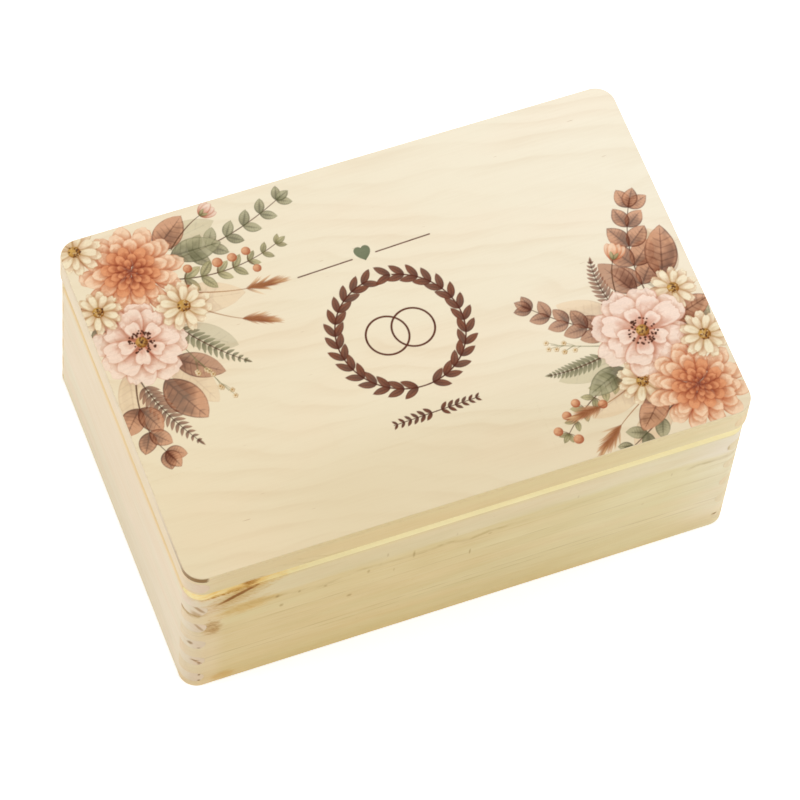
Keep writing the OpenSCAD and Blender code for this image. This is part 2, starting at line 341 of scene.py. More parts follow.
# A stain's row: place, radii, turn, ink, strength, how far bark breaks it up, and for a knot how
# far it lifts the rings. A line's row: height, sway, width, strength and shift of its noise.
boards = {
    "front_wall": {
        "grain": "x", "shift": (11, 3, 7), "pith": (-38, -30), "slope": (0.01, 0.012),
        "contrast": 0.11, "patch": 0.75, "gapShade": 0, "endGrain": (0.985, 0.96, 0.97),
        # Tones along it: paler and bluer at the ends; towards the right end this is a painted sheen
        "tones": ((-150, (0.99, 0.99, 1.08)), (-138, (0.97, 0.94, 0.93)), (-128, (0.915, 0.885, 0.775)),
                  (-60, (0.9, 0.87, 0.755)), (40, (0.9, 0.885, 0.805)), (105, (0.94, 0.96, 0.94)),
                  (150, (0.99, 1.04, 1.2))),
        "low": (0.965, 0.915, 0.79), "fade": (42, 4),
        "stains": (
            # In the groove by the left corner, and the bruised grain below it
            (-122, 101, 26, 5.2, 0, (0.93, 0.73, 0.45), 0.85, 0.5),
            (-116, 102.2, 4.6, 2.4, 0.35, (0.46, 0.24, 0.1), 0.95, 0.5),
            (-130, 99.4, 12, 0.8, 0.04, (0.55, 0.33, 0.14), 0.6, 0.8),
            (-125, 93.8, 11.5, 1.5, 0.44, (0.42, 0.23, 0.09), 1, 0),
            (-126, 91.5, 19, 6.5, 0.3, (0.8, 0.64, 0.42), 0.9, 0.4),
            (-118, 78.5, 15, 5.6, 0.1, (0.86, 0.68, 0.42), 0.75, 0.3),
            (-137, 65.5, 4.8, 7.2, 0.15, (0.55, 0.36, 0.2), 0.8, 0.5),
            (-147, 83, 4.5, 3.6, -0.5, (0.5, 0.36, 0.2), 0.6, 0.4),
            (-130, 6, 6.5, 4, 0, (0.88, 0.68, 0.42), 0.6, 0.2),
        ),
        "streaks": ({
            "path": ((-150, 82), (-126, 80.5), (-110, 79.2), (-101, 78.6), (-90, 76.6), (-77, 74.6),
                     (-66, 77), (-56, 78.4), (-45, 76.7), (-25, 76.8), (-12, 78.4), (-2, 74.8),
                     (12, 77.4), (25, 77), (60, 76.6), (118, 76.2), (125, 77.4), (135, 76.6),
                     (142, 78), (150, 79)),
            "ink": ((-150, 0.1), (-126, 0.2), (-108, 0.45), (-101, 0.9), (-93, 0.35), (-84, 0.3),
                    (-76, 0.6), (-68, 0.25), (-50, 0.75), (-36, 0.45), (-20, 0.85), (-4, 1),
                    (14, 0.8), (27, 0.3), (42, 0.12), (60, 0.35), (90, 0.15), (114, 0.1),
                    (123, 0.9), (141, 1), (150, 0.6)),
            "width": 2.2, "halo": 6.5, "strength": 0.42,
        },),
        "lines": ((59.2, 1, 0.7, 0.3, 9), (50.5, 0.8, 0.5, 0.16, 29), (71.8, 0.8, 0.6, 0.2, 39),
                  (32, 0.8, 0.8, 0.34, 17), (27.6, 0.8, 0.7, 0.3, 17.4)),
        "band": {"from": 82.5, "to": 99, "tint": (1.018, 1.042, 1.19)},
        "spots": cornerSpots + (
            (-100.3, 66.6, 1.2, 1.5, 0.27), (-77, 73, 1, 1.2, 0.16),
            (-63.3, 53.4, 1.4, 1.4, 0.25), (-91, 76, 0.8, 1.2, 0.22),
            (-54, 74, 0.8, 1.8, 0.2), (-102.8, 78.2, 1, 1.4, 0.26),
            (-29.8, 77.5, 0.7, 3.6, 0.22), (-44.3, 86, 0.6, 2, 0.14),
            (1.5, 60.5, 0.5, 2.8, 0.29), (11.5, 74.2, 1.1, 0.7, 0.19),
            (-40, 67, 0.5, 1.6, 0.13), (58.5, 84.5, 0.5, 1.6, 0.1),
            (110.5, 76, 0.5, 1.7, 0.12), (97, 52, 0.8, 1, 0.07),
            (-7, 85, 0.5, 1.5, 0.08),
        ),
    },
    "back_wall": {
        "grain": "x", "shift": (311, 53, 17), "pith": (60, 140), "slope": (-0.02, 0.02),
        "tones": ((-150, (0.98, 0.96, 0.9)), (150, (0.97, 0.95, 0.86))),
        "stains": ((62, 38, 8, 6, 0.2, (0.46, 0.3, 0.17), 0.75, 0.4, 7),),
    },
    "left_wall": {
        "grain": "y", "shift": (71, 23, 97), "pith": (-184, 22), "slope": (0.01, -0.03),
        "contrast": 0.16, "patch": 0.4, "endGrain": (0.97, 0.91, 0.88), "low": (0.98, 0.98, 0.96),
        "tones": ((-100, (0.995, 1.015, 1.23)), (100, (1, 1.04, 1.27))),
        # Its groove's flank, and the lip below it, are darker: painted shade
        "flank": (0.88, 0.675, 0.37), "lip": (94.6, 98.4), "spots": cornerSpots,
        "endStains": (
            (-145, 90, 6, 1, -0.95, (0.5, 0.35, 0.22), 0.62, 0),
            (-148, 84.5, 4.5, 2.4, -0.6, (0.54, 0.38, 0.22), 0.74, 0),
            (-144, 69, 4.6, 0.8, -1.1, (0.5, 0.35, 0.22), 0.5, 0),
            (-144, 29.5, 4, 0.8, -0.8, (0.54, 0.38, 0.24), 0.52, 0),
        ),
    },
    "right_wall": {
        "grain": "y", "shift": (171, 63, 37), "pith": (-40, 150), "slope": (0.01, 0.02),
        "endGrain": (0.985, 0.985, 1.07), "spots": cornerSpots,
        "tones": ((-100, (0.98, 0.98, 0.98)), (100, (0.99, 0.98, 0.97))),
        "stains": ((-30, 60, 5.5, 4.5, 0, (0.48, 0.32, 0.18), 0.75, 0.4, 6),),
    },
    "lid_front_rail": {
        "grain": "x", "shift": (511, 83, 57), "pith": (-20, 60), "slope": (0.008, 0.02),
        "contrast": 0.12, "patch": 0.6, "gapShade": 0, "endGrain": (1, 0.97, 1.02),
        # Tones along it: paler and bluer at the ends; towards the right end this is a painted sheen
        "tones": ((-150, (1, 0.98, 1.02)), (-132, (0.93, 0.89, 0.84)), (-60, (0.9, 0.855, 0.74)),
                  (60, (0.9, 0.87, 0.78)), (110, (0.935, 0.93, 0.89)), (150, (0.98, 1, 1.06))),
        "low": (1, 1, 1),
        "stains": (
            (-119, 105.5, 8, 3.4, 0.2, (0.62, 0.4, 0.2), 0.8, 0.6),
            (-134, 104, 12, 2, 0, (0.9, 0.66, 0.38), 0.65, 0.3),
        ),
        "streaks": ({
            "path": ((-150, 119), (-106, 116), (-97, 112.4), (-88, 108.6), (-78, 106), (-40, 104.5)),
            "ink": ((-150, 0), (-110, 0), (-100, 0.8), (-84, 1), (-76, 0.4), (-66, 0)),
            "width": 0.7, "halo": 2.5, "strength": 0.3,
        }, {
            "path": ((-150, 123), (-98, 117.5), (-88, 113), (-76, 109), (-60, 107), (-40, 106.5)),
            "ink": ((-150, 0), (-102, 0), (-92, 0.7), (-76, 0.8), (-64, 0.3), (-54, 0)),
            "width": 0.7, "halo": 2, "strength": 0.22,
        }),
    },
    "lid_back_rail": {
        "grain": "x", "shift": (711, 13, 77), "pith": (35, 80), "slope": (0.01, 0.015),
    },
    "lid_left_rail": {
        "grain": "y", "shift": (21, 93, 47), "pith": (-190, 90), "slope": (0.01, 0.02),
        "contrast": 0.16, "tones": ((-100, (0.985, 0.985, 1.15)), (100, (1, 1.01, 1.22))),
        # Its groove's flank, and the lip beside it, are darker: painted shade
        "flank": (0.88, 0.675, 0.37), "lip": (109.2, 107.9),
    },
    "lid_right_rail": {
        "grain": "y", "shift": (61, 143, 87), "pith": (-30, 160), "slope": (0.01, 0.02),
    },
}


# Oval: distance from the middle of a turned ellipse, as a share of its radii
def oval(along, up, atAlong, atUp, wide, high, turn=0):
    x, y = less(along, atAlong), less(up, atUp)
    c, s = math.cos(turn), math.sin(turn)
    u = scaled(x, c / wide, times(y, s / wide))
    v = scaled(y, c / high, times(x, -s / high))
    return diagonal(u, v)


# Stain: an oval with ragged edges, and with bark its inside is broken into slanting slivers
def stain(colour, along, up, rag, slivers, row, where=None):
    ink, strength, bark = row[5:8]
    far = calc("ADD", oval(along, up, *row[:5]), rag)
    mask = times(span(far, 1.45, 0.35), strength)
    if bark:
        mask = times(mask, calc("MULTIPLY_ADD", slivers, bark, 1 - bark / 2, clamp=True))
    if where is not None:
        mask = times(mask, where)
    return absorb(mask, colour, ink)


# Value along a board, through given points: pairs of a place and a level or a colour
def alongBoard(along, stops, high=1, reach=150):
    at = span(along, -reach, reach, 0, 1, "LINEAR")
    levels = np.isscalar(stops[0][1])
    shares = [v / high if levels else [c / high for c in v] for place, v in stops]
    n = curve(at, [((place + reach) / (2 * reach), v) for (place, level), v in zip(stops, shares)])
    return times(n, high) if levels else vec("MULTIPLY", n, (high, high, high))


# Pine: growth rings are cylinders about the pith, whose distance is bent by noise and pushed
# out around knots. Each ring darkens slowly outwards and ends at once, as late wood does.
def pineMaterial(name, board):
    b = {**pine, **board}
    noise, tints = pineNoise, pineTints
    mat = newMaterial(name)
    place, facing = placed()
    x, y, up = parts(place)
    nx, ny, nz = parts(facing)
    lengthwise = b["grain"] == "x"
    along, through = (x, y) if lengthwise else (y, x)
    seeded = vec("ADD", join(along, through, up), b["shift"])
    bends = parts(cloud(seeded, noise["bends"], 1))
    ripples = parts(cloud(seeded, noise["ripples"], 1))

    def offAxis(value, middle, slope, k):
        v = scaled(along, slope, less(value, middle))
        v = scaled(bends[k], 2 * b["bend"], v)
        return scaled(ripples[k], 2 * b["ripple"], v)

    radius = diagonal(offAxis(through, b["pith"][0], b["slope"][0], 1),
                      offAxis(up, b["pith"][1], b["slope"][1], 2))
    for row in b["stains"]:
        for lift in row[8:]:
            far = oval(along, up, *row[:5])
            radius = scaled(calc("EXPONENT", times(far, far, b["swell"])), lift, radius)
    wander = cloud(join(radius, 0, times(along, 0.02)), noise["wander"])
    rings = calc("FRACT", scaled(wander, b["wander"], calc("DIVIDE", radius, b["spacing"])))
    late = times(curve(rings, b["ring"]), cloud(seeded, noise["clear"]))

    # Fibres, soft patches of paler and yellower wood, and small flecks
    fibre, drift, patchy = (cloud(seeded, noise[key]) for key in ("fibre", "drift", "patchy"))
    colour = blendColour(times(late, b["contrast"]), b["early"], b["late"])
    colour = blendColour(0.4, colour, span(fibre, 0.3, 0.75, 0.62, 0.38, "LINEAR"), "SOFT_LIGHT")
    patches = blendColour(span(patchy, 0.3, 0.7, 0, 1, "LINEAR"), *tints["patches"])
    colour = tinted(b["patch"], colour, patches)
    colour = product(colour, blendColour(span(drift, 0.35, 0.65), *tints["drift"]))
    # Tones along the board; on the front wall and the lid's front rail they hold a painted sheen at the
    # right end
    tone = b["tones"][0][1]
    if len(b["tones"]) > 1:
        tone = alongBoard(along, b["tones"], b["brightest"], b["reach"][b["grain"]])
    colour = product(colour, tone)
    # Painted shade: darker towards the lower edge
    colour = tinted(span(scaled(drift, 22, up), *b["fade"]), colour, b["low"])
    if "band" in b:
        edge = scaled(patchy, 7, less(up, 3.5))
        low, high, soft = b["band"]["from"], b["band"]["to"], 2.5
        inBand = times(span(edge, low - soft, low + soft), span(edge, high + soft, high - soft))
        colour = tinted(inBand, colour, b["band"]["tint"])
    colour = tinted(times(cloud(seeded, noise["fleck"]), 0.22), colour, tints["fleck"])

    # Marks: streaks with a halo, thin lines and stains
    for s in b["streaks"]:
        line = scaled(less(patchy, 0.5), 3.4, alongBoard(along, s["path"], 130))
        off = apart(up, line)
        dashes = cloud(seeded, noise["dashes"])
        ink = times(alongBoard(along, s["ink"]), dashes, s["strength"])
        halo = times(span(off, s["halo"], 0), times(ink, 0.45))
        colour = tinted(halo, colour, tints["halo"])
        colour = tinted(times(span(off, s["width"], 0.1), ink), colour, tints["streak"])
    for height, wave, width, strength, shift in b["lines"]:
        sway = cloud(join(scaled(along, 0.02, shift), 0, 0), noise["sway"])
        off = apart(up, scaled(less(sway, 0.5), 2 * wave, height))
        broken = cloud(join(scaled(along, 0.045, shift * 3), 0, 0), noise["broken"])
        ink = times(span(off, width, 0.1), broken, strength)
        colour = tinted(ink, colour, tints["line"])
    rag = scaled(cloud(seeded, noise["rag"]), b["rag"], -b["rag"] / 2)
    slanted = join(scaled(up, 0.9, along), scaled(along, -0.35, up), 0)
    slivers = cloud(slanted, noise["slivers"])
    for row in b["stains"]:
        colour = stain(colour, along, up, rag, slivers, row)

    # End grain, and the flanks of the groove: their upward faces get fresh-cut wood with a painted
    # highlight, or on the left boards a darker painted shade
    cut = span(apart(nx if lengthwise else ny), 0.55, 0.95)
    colour = tinted(cut, colour, b["endGrain"])
    for row in b["endStains"]:
        front = times(span(ny, -0.3, -0.7), cut)
        colour = stain(colour, x, up, times(rag, 0.5), slivers, row, front)
    isFlank = times(span(nz, 0.45, 0.62), span(nz, 0.9, 0.78))
    if "lip" in b:
        lip = times(span(up, *b["lip"]), span(apart(through), *b["lipEdge"]))
        isFlank = calc("MAXIMUM", isFlank, times(lip, calc("LESS_THAN", nz, 0.9)))
    # Flank colour: fresh-cut wood with a painted highlight, and on the left boards painted shade
    cutWoodAndShading = product(b["flank"], blendColour(patchy, *tints["flank"]))
    cutWoodAndShading = blendColour(0.3, cutWoodAndShading, span(fibre, 0.3, 0.75, 0.6, 0.4, "LINEAR"), "SOFT_LIGHT")
    torn = cloud(seeded, noise["torn"])
    for row in b["stains"]:
        if row[1] > b["inGroove"]:
            cutWoodAndShading = stain(cutWoodAndShading, along, up, rag, torn, row)
    colour = blendColour(isFlank, colour, cutWoodAndShading)

    # Painted shade in the small voids at the corners of the tails' round noses, and single flecks
    if lengthwise and b["gapShade"]:
        if name.startswith("lid"):
            off = apart(up, joints["lid"])
        else:
            pitch = joints["pitch"]
            turns = calc("MODULO", calc("ADD", up, pitch * 1.5 - joints["first"]), pitch)
            off = apart(turns, pitch / 2)
        spot = oval(apart(along), off, joints["nose"], joints["half"], *b["gapSize"])
        dark = times(span(spot, 1.2, 0.5), cloud(seeded, noise["some"]), b["gapShade"])
        colour = blendColour(dark, colour, tints["gap"])
    for *place, strength in b["spots"]:
        mask = span(scaled(rag, 0.35, oval(x, up, *place)), 1.45, 0.1)
        mask = times(mask, strength, span(ny, -0.2, -0.6))
        colour = absorb(mask, colour, tints["spot"])

    rough = scaled(fibre, 0.2, scaled(late, -0.06, 0.5))
    height = scaled(fibre, 0.75, times(late, 0.35))
    finish(colour, rough, height, b["relief"], Specular_IOR_Level=b["gloss"])
    return mat


for boardName, board in boards.items():
    dress(boardName, pineMaterial(boardName + "Pine", board))
print("stage 3: pine boards")

# Plywood: a birch face with a soft figure along X, three plies at the edge, scorched where it was cut
plywood = {
    "face": (0.885, 0.78, 0.57),
    "warm": (0.968, 0.94, 0.878),  # tone at the left front, darker and warmer
    "clear": (1, 1.045, 1.15),  # tone at the right back, lighter and whiter; between them partly wood tone and partly painted sheen
    "deep": (0.912, 0.886, 0.828),  # painted shade along the front edge
    "figure": 12,  # from band to band
    "band": ((0, 0.15), (0.3, 0), (0.62, 0.55), (0.86, 1), (1, 0.15)),  # its darkness
    "sway": 13,  # how far the bands bend
    "slope": 0.25,
    "depth": 0.125,
    "lines": (0.62, 0.42, 0.2),
    "pink": (1.015, 0.975, 0.965),
    "fleck": (0.6, 0.45, 0.33),
    "thick": 4,
    "edge": (0.875, 0.735, 0.455),
    "core": (0.84, 0.69, 0.415),
    "pores": (0.8, 0.7, 0.55),
    "ends": (0.99, 0.995, 1.18),  # tone of its edge at the left and right
    "scorch": (0.31, 0.175, 0.062),
    "fading": ((0, 1), (0.12, 0.9), (0.24, 0.5), (0.6, 0.2), (1, 0)),  # of the scorch
    "gloss": 0.12,
    "relief": 0.00012,
}
birchNoise = {
    "slow": ((0.0085, 0.02, 1), 2, 0.45),
    "small": ((0.03, 0.085, 1), 2, 0.5),
    "strong": ((0.012, 0.03, 1), 1, 0.5, (0.34, 0.66, 0.25, 1)),
    "fibre": ((0.035, 0.75, 1), 4, 0.6),
    "haze": ((0.012, 0.05, 1), 3, 0.5),
    "pink": ((0.01, 0.025, 1), 2, 0.5, (0.42, 0.62)),
    "fleck": ((0.085, 0.62, 1), 1, 0.5, (0.765, 0.82)),
    "pores": ((0.5, 0.5, 1.4), 3, 0.6, (0.4, 0.75, 0, 0.35)),
    "ragged": ((0.2, 0.2, 0.2), 1, 0.5),
}
panels = {
    "lid_panel": {"shift": (0, 0, 0), "foot": 121, "scorched": True},
    "bottom_panel": {"shift": (430, 70, 0), "foot": 0, "scorched": False},
}


# Birch face: bands of a height that falls across the grain and is bent by slow noise, so that
# they run as lines, hooks and islands; finer fibres and short dark flecks lie along them.
# It gives the colour, with its painted sheen and shade, the fibres, the roughness and the height.
def birchFace(x, y, shift):
    w = plywood
    place = vec("ADD", join(x, y, 0), shift)
    slow, small, strong, fibre, haze, pink, fleck = (cloud(place, birchNoise[key]) for key in (
        "slow", "small", "strong", "fibre", "haze", "pink", "fleck"))
    level = scaled(slow, 4 * w["sway"], scaled(x, w["slope"], y))
    level = scaled(small, 0.3 * w["sway"], level)
    band = curve(calc("FRACT", calc("DIVIDE", level, w["figure"])), w["band"])
    dark = scaled(less(fibre, 0.5), 0.13, times(band, strong, w["depth"]))
    dark = scaled(less(haze, 0.5), 0.1, dark)
    # Painted sheen towards the right back, partly wood tone, and painted shade along the front edge
    across = span(scaled(y, 0.8, x), -190, 190, 0, 1, "LINEAR")
    colour = product(w["face"], blendColour(across, w["warm"], w["clear"]))
    front = times(span(scaled(slow, 30, y), -8, -72), span(x, -125, -55, 0.35, 1))
    colour = tinted(front, colour, w["deep"])
    colour = tinted(dark, colour, w["lines"])
    colour = tinted(times(pink, 0.5), colour, w["pink"])
    colour = tinted(times(fleck, 0.5), colour, w["fleck"])
    return colour, fibre, scaled(fibre, 0.2, 0.45), scaled(band, 0.2, fibre)


def plywoodMaterial(name, panel):
    w = plywood
    mat = newMaterial(name)
    place, facing = placed()
    x, y, up = parts(place)
    nx, ny, nz = parts(facing)
    colour, fibre, rough, height = birchFace(x, y, panel["shift"])
    # Edge: face, core and back ply, with the core's end grain darker
    inPly = calc("DIVIDE", less(up, panel["foot"]), w["thick"])
    core = times(span(inPly, 0.3, 0.36), span(inPly, 0.68, 0.62), 0.45)
    edge = blendColour(core, w["edge"], w["core"])
    edge = tinted(cloud(place, birchNoise["pores"]), edge, w["pores"])
    # The front edge takes the front rail's tones, with their painted sheen at the right end
    frontTone = alongBoard(x, boards["lid_front_rail"]["tones"], pine["brightest"])
    edge = product(edge, blendColour(span(apart(nx), 0.4, 0.9), frontTone, w["ends"]))
    if panel["scorched"]:
        # The cutter stood still in the left front corner: the burn ends at once on the front
        # edge and fades along the left one, where it also keeps to the lower plies
        ragged = scaled(cloud(place, birchNoise["ragged"]), 2.5, x)
        fading = curve(span(y, -101, -45, 0, 1, "LINEAR"), w["fading"])
        burn = times(span(ragged, -138.6, -140.4), fading, span(inPly, 1, 0.8, 0.2, 1))
        edge = blendColour(burn, edge, w["scorch"])
    colour = blendColour(span(apart(nz), 0.8, 0.45), colour, edge)
    finish(colour, rough, height, w["relief"], Specular_IOR_Level=w["gloss"])
    return mat


for panelName, panel in panels.items():
    dress(panelName, plywoodMaterial(panelName + "Birch", panel))
print("stage 4: plywood panels")

# Print on the lid: garlands in two corners and an ornament in the middle, painted into grids
# with numpy. A sheet is a grid over part of the lid, in millimetres, with ink and cover.
inks = {
    "peach": ((206, 118, 72), (246, 212, 178)),  # from the base of a petal to its tip
    "terracotta": ((146, 62, 32), (228, 156, 110)),
    "blush": ((194, 118, 90), (246, 222, 202)),
    "cream": ((188, 148, 96), (245, 231, 198)),
    "sage": ((92, 90, 60), (174, 168, 132)),
    "olive": ((110, 104, 64), (186, 176, 130)),
    "russet": ((94, 46, 27), (206, 150, 114)),
    "plum": ((92, 48, 32), (186, 138, 108)),
    "sand": ((168, 114, 70), (233, 198, 154)),
    "stem": ((80, 48, 30), (126, 88, 58)),
    "stamen": ((56, 25, 13), (106, 58, 34)),
    "gold": ((150, 96, 34), (220, 178, 92)),
    "berry": ((176, 96, 58), (240, 190, 146)),
    "umber": ((84, 38, 22), (124, 70, 46)),
    "moss": ((100, 106, 78), (132, 138, 108)),
}
# Brush: size of the random lattice, a turn for random starts, one to set petals round and a
# fifth of it, softness of an edge in cells, and how far and how dark a shadow is
brush = {
    "lattice": 61, "anyTurn": 6.28, "fullTurn": 6.2832, "fifth": 1.257,
    "soft": 0.55, "reach": 2.2, "dark": 0.55,
}


def shade(name, amount):
    a, b = (np.array(c, float) / 255 for c in inks[name])
    return a + (b - a) * np.clip(amount, 0, 1)[..., None]


# Value noise: random heights on a lattice, blended smoothly, in octaves of half the size
def wash(x, y, seed, octaves=3):
    total, weight, size = 0, 0, brush["lattice"]
    for k in range(octaves):
        table = np.random.default_rng(seed + 17 * k).random((size, size))
        xi, yi = np.floor(x * 2 ** k).astype(int), np.floor(y * 2 ** k).astype(int)
        fx, fy = x * 2 ** k - xi, y * 2 ** k - yi
        fx, fy = fx * fx * (3 - 2 * fx), fy * fy * (3 - 2 * fy)
        left, right, under, over = xi % size, (xi + 1) % size, yi % size, (yi + 1) % size
        low = table[left, under] * (1 - fx) + table[right, under] * fx
        high = table[left, over] * (1 - fx) + table[right, over] * fx
        total = total + (low * (1 - fy) + high * fy) / 2 ** k
        weight += 1 / 2 ** k
    return total / weight


def newSheet(x0, x1, y0, y1, cell):
    xs = np.linspace(x0, x1, int(round((x1 - x0) / cell)) + 1)
    ys = np.linspace(y0, y1, int(round((y1 - y0) / cell)) + 1)
    x, y = np.meshgrid(xs, ys)
    return {"x": x, "y": y, "ink": np.zeros((*x.shape, 3)), "cover": np.zeros(x.shape), "cell": cell}


def near(sheet, x, y, reach):
    cols = (sheet["x"][0] > x - reach) & (sheet["x"][0] < x + reach)
    rows = (sheet["y"][:, 0] > y - reach) & (sheet["y"][:, 0] < y + reach)
    if not cols.any() or not rows.any():
        return None
    c, r = np.flatnonzero(cols), np.flatnonzero(rows)
    return (slice(r[0], r[-1] + 1), slice(c[0], c[-1] + 1))


# Lays a colour over what is there, by the usual rule for a see-through layer
def lay(sheet, at, mask, colour):
    ink, cover = sheet["ink"][at], sheet["cover"][at]
    total = mask + cover * (1 - mask)
    safe = np.maximum(total, 1e-6)[..., None]
    sheet["ink"][at] = (colour * mask[..., None] + ink * (cover * (1 - mask))[..., None]) / safe
    sheet["cover"][at] = total


def deepen(sheet, at, mask, tint=(0.8, 0.62, 0.52)):
    sheet["ink"][at] *= 1 - mask[..., None] * (1 - np.array(tint))


# Place at a distance and in a direction from another
def polar(x, y, far, turn):
    return x + far * math.cos(turn), y + far * math.sin(turn)


# Petal or leaf: u runs from its root to its tip, v across it. Its half width is
# width / 2 * u^a (1-u)^b, scaled to 1 at its widest; d is about the distance to its edge.
def petal(sheet, x, y, turn, length, width, ink, seed, form=(0.9, 0.42), curl=0, ruffle=0.05,
          notch=0, veins=0.16, cover=0.96, shadow=0.5, rib=0, barbs=0, rim=0.45, tone=0,
          cup=0, bleed=0.6):
    c, s = math.cos(turn), math.sin(turn)
    at = near(sheet, x + c * length / 2, y + s * length / 2, 0.62 * length + 0.5 * width + 2)
    if at is None:
        return
    px, py = sheet["x"][at] - x, sheet["y"][at] - y
    u = (px * c + py * s) / length
    v = py * c - px * s - curl * length * np.clip(u, 0, 1) ** 2
    ragged = 1 + ruffle * (wash(v * 7 / width + 40, u * 0 + seed % 50, seed, 2) - 0.5)
    u = u * (1 + notch * np.exp(-(v / (0.13 * width)) ** 2)) * ragged
    a, b = form
    peak = (a / (a + b)) ** a * (b / (a + b)) ** b

    def halfWidth(s):
        s = np.clip(s, 1e-4, 1 - 1e-4)
        return width / 2 * s ** a * (1 - s) ** b / peak

    w = halfWidth(u)
    slope = (halfWidth(u + 0.01) - halfWidth(u - 0.01)) / (0.02 * length)
    d = (w - np.abs(v)) / np.sqrt(1 + np.minimum(slope ** 2, 9))
    d = np.minimum(d, np.minimum(u, 1 - u) * length + 0.2)
    mask = np.clip(d / (2 * (brush["soft"] * sheet["cell"])) + 0.5, 0, 1)
    if shadow:
        deepen(sheet, at, np.clip(1 + d / brush["reach"], 0, 1) * (d < 0.4) * shadow * brush["dark"])
    wet = wash(px * 0.16 + 9, py * 0.16 + 5, seed + 3, 3)
    across = v / np.maximum(w, 0.3)
    run = np.clip(u, 0, 1)
    level = 0.1 + run ** 0.8 + bleed * (wet - 0.5) + 0.14 * across + tone
    level = level - cup * np.exp(-((u - 0.55) / 0.22) ** 2) * (1 - across ** 2)
    fan = np.cos(across * 9 + 2 * wash(across * 2 + 7, u * 2 + 3, seed + 5, 1) * brush["anyTurn"])
    level = level - veins * np.clip(fan, 0, 1) ** 3 * (1.05 - run)
    if rib:
        level = level - rib * np.exp(-(v / (0.28 + 0.25 * (1 - run))) ** 2) * (u < 0.93)
    if barbs:
        step = (u * barbs - np.abs(across) * 0.9) % 1
        level = level - 0.3 * np.exp(-((step - 0.5) / 0.1) ** 2) * (np.abs(across) < 0.93)
    level = level - rim * np.exp(-(np.maximum(d, 0) / 0.42) ** 2) + 0.22 * np.exp(-((d - 1.3) / 0.7) ** 2)
    speckle = 0.05 * (wash(px * 1.7 + 3, py * 1.7 + 8, seed + 9, 2) - 0.5)
    colour = shade(ink, level) * (1 + speckle)[..., None]
    lay(sheet, at, mask * cover * (0.9 + 0.1 * wet), np.clip(colour, 0, 1))


# Bend: points and directions along a quadratic curve through three points
def bend(p0, p1, p2, n):
    s = np.linspace(0, 1, n)[:, None]
    p0, p1, p2 = (np.array(p, float) for p in (p0, p1, p2))
    points = (1 - s) ** 2 * p0 + 2 * s * (1 - s) * p1 + s ** 2 * p2
    along = 2 * (1 - s) * (p1 - p0) + 2 * s * (p2 - p1)
    return points, np.arctan2(along[:, 1], along[:, 0])


# Stem: such a curve in short straight steps, drawn as its distance field
def stem(sheet, p0, p1, p2, thick, ink="stem", tone=0.4, cover=0.9, taper=0.5, steps=24):
    points = bend(p0, p1, p2, steps + 1)[0]
    mid = points.mean(0)
    at = near(sheet, mid[0], mid[1], np.abs(points - mid).max() + 2)
    if at is None:
        return
    px, py = sheet["x"][at], sheet["y"][at]
    best = np.full(px.shape, 1e9)
    for k, ((ax, ay), (bx, by)) in enumerate(zip(points[:-1], points[1:])):
        s = ((px - ax) * (bx - ax) + (py - ay) * (by - ay)) / ((bx - ax) ** 2 + (by - ay) ** 2 + 1e-9)
        s = np.clip(s, 0, 1)
        away = np.hypot(px - ax - s * (bx - ax), py - ay - s * (by - ay))
        best = np.minimum(best, away - thick / 2 * (1 - taper * (k + s) / steps))
    mask = np.clip(0.5 - best / (1.2 * sheet["cell"]), 0, 1)
    lay(sheet, at, mask * cover, shade(ink, tone + 0.6 * (wash(px * 0.5 + 50, py * 0.5 + 50, 4, 2) - 0.5)))


# Round mark: berry, bud or stamen, lit from its upper left
def dot(sheet, x, y, r, ink, seed=1, cover=0.95, tone=0):
    at = near(sheet, x, y, r + 1.5)
    if at is None:
        return
    px, py = sheet["x"][at] - x, sheet["y"][at] - y
    d = r - np.hypot(px, py)
    mask = np.clip(d / sheet["cell"] + 0.5, 0, 1)
    rim = 0.45 * np.exp(-(np.maximum(d, 0) / (0.22 * r + 0.15)) ** 2)
    light = 0.55 + 0.55 * (py - px) / (1.6 * r) - rim
    lay(sheet, at, mask * cover, shade(ink, light + tone + 0.4 * (wash(px + 30, py + 30, seed, 2) - 0.5)))


def leaf(sheet, x, y, turn, length, width, ink, seed, tone=0, cover=0.92):
    petal(sheet, x, y, turn, length, width, ink, seed, form=(0.75, 0.85), curl=0.06 * math.sin(seed * 1.7),
          ruffle=0.03, veins=0.05, cover=cover, shadow=0.25, rib=0.5, barbs=8, rim=0.4,
          tone=tone - 0.05, bleed=1.1)


# Pale leaf: it lies under all the rest of a garland
def pale(sheet, x, y, turn, length, width, ink):
    leaf(sheet, x, y, turn, length, width, ink, abs(x), 0.35, 0.45)


# Twig: leaves in pairs along a stem, growing smaller towards its tip
def twig(sheet, p0, p1, p2, pairs, length, width, ink, seed, angle, tone=0, berries=None):
    stem(sheet, p0, p1, p2, 0.9)
    points, turns = bend(p0, p1, p2, pairs + 1)
    rng = np.random.default_rng(seed)
    for k in range(1, pairs + 1):
        size = (1 - 0.45 * k / pairs) * (0.9 + 0.2 * rng.random())
        for side in (-1, 1):
            swing = angle * (0.85 + 0.3 * rng.random())
            leaf(sheet, *points[k], turns[k] + side * swing, length * size, width * size, ink,
                 seed * 31 + 2 * k + side, tone + 0.25 * (rng.random() - 0.5))
            if berries and rng.random() < 0.5:
                tip = polar(*points[k], length * 0.55, turns[k] + side * swing * 1.8)
                stem(sheet, points[k], (points[k] + tip) / 2 + 0.8, tip, 0.5)
                dot(sheet, *tip, 2.1 + 0.7 * rng.random(), berries, seed + k)
    leaf(sheet, *points[-1], turns[-1], length * 0.6, width * 0.6, ink, seed + 5, tone)


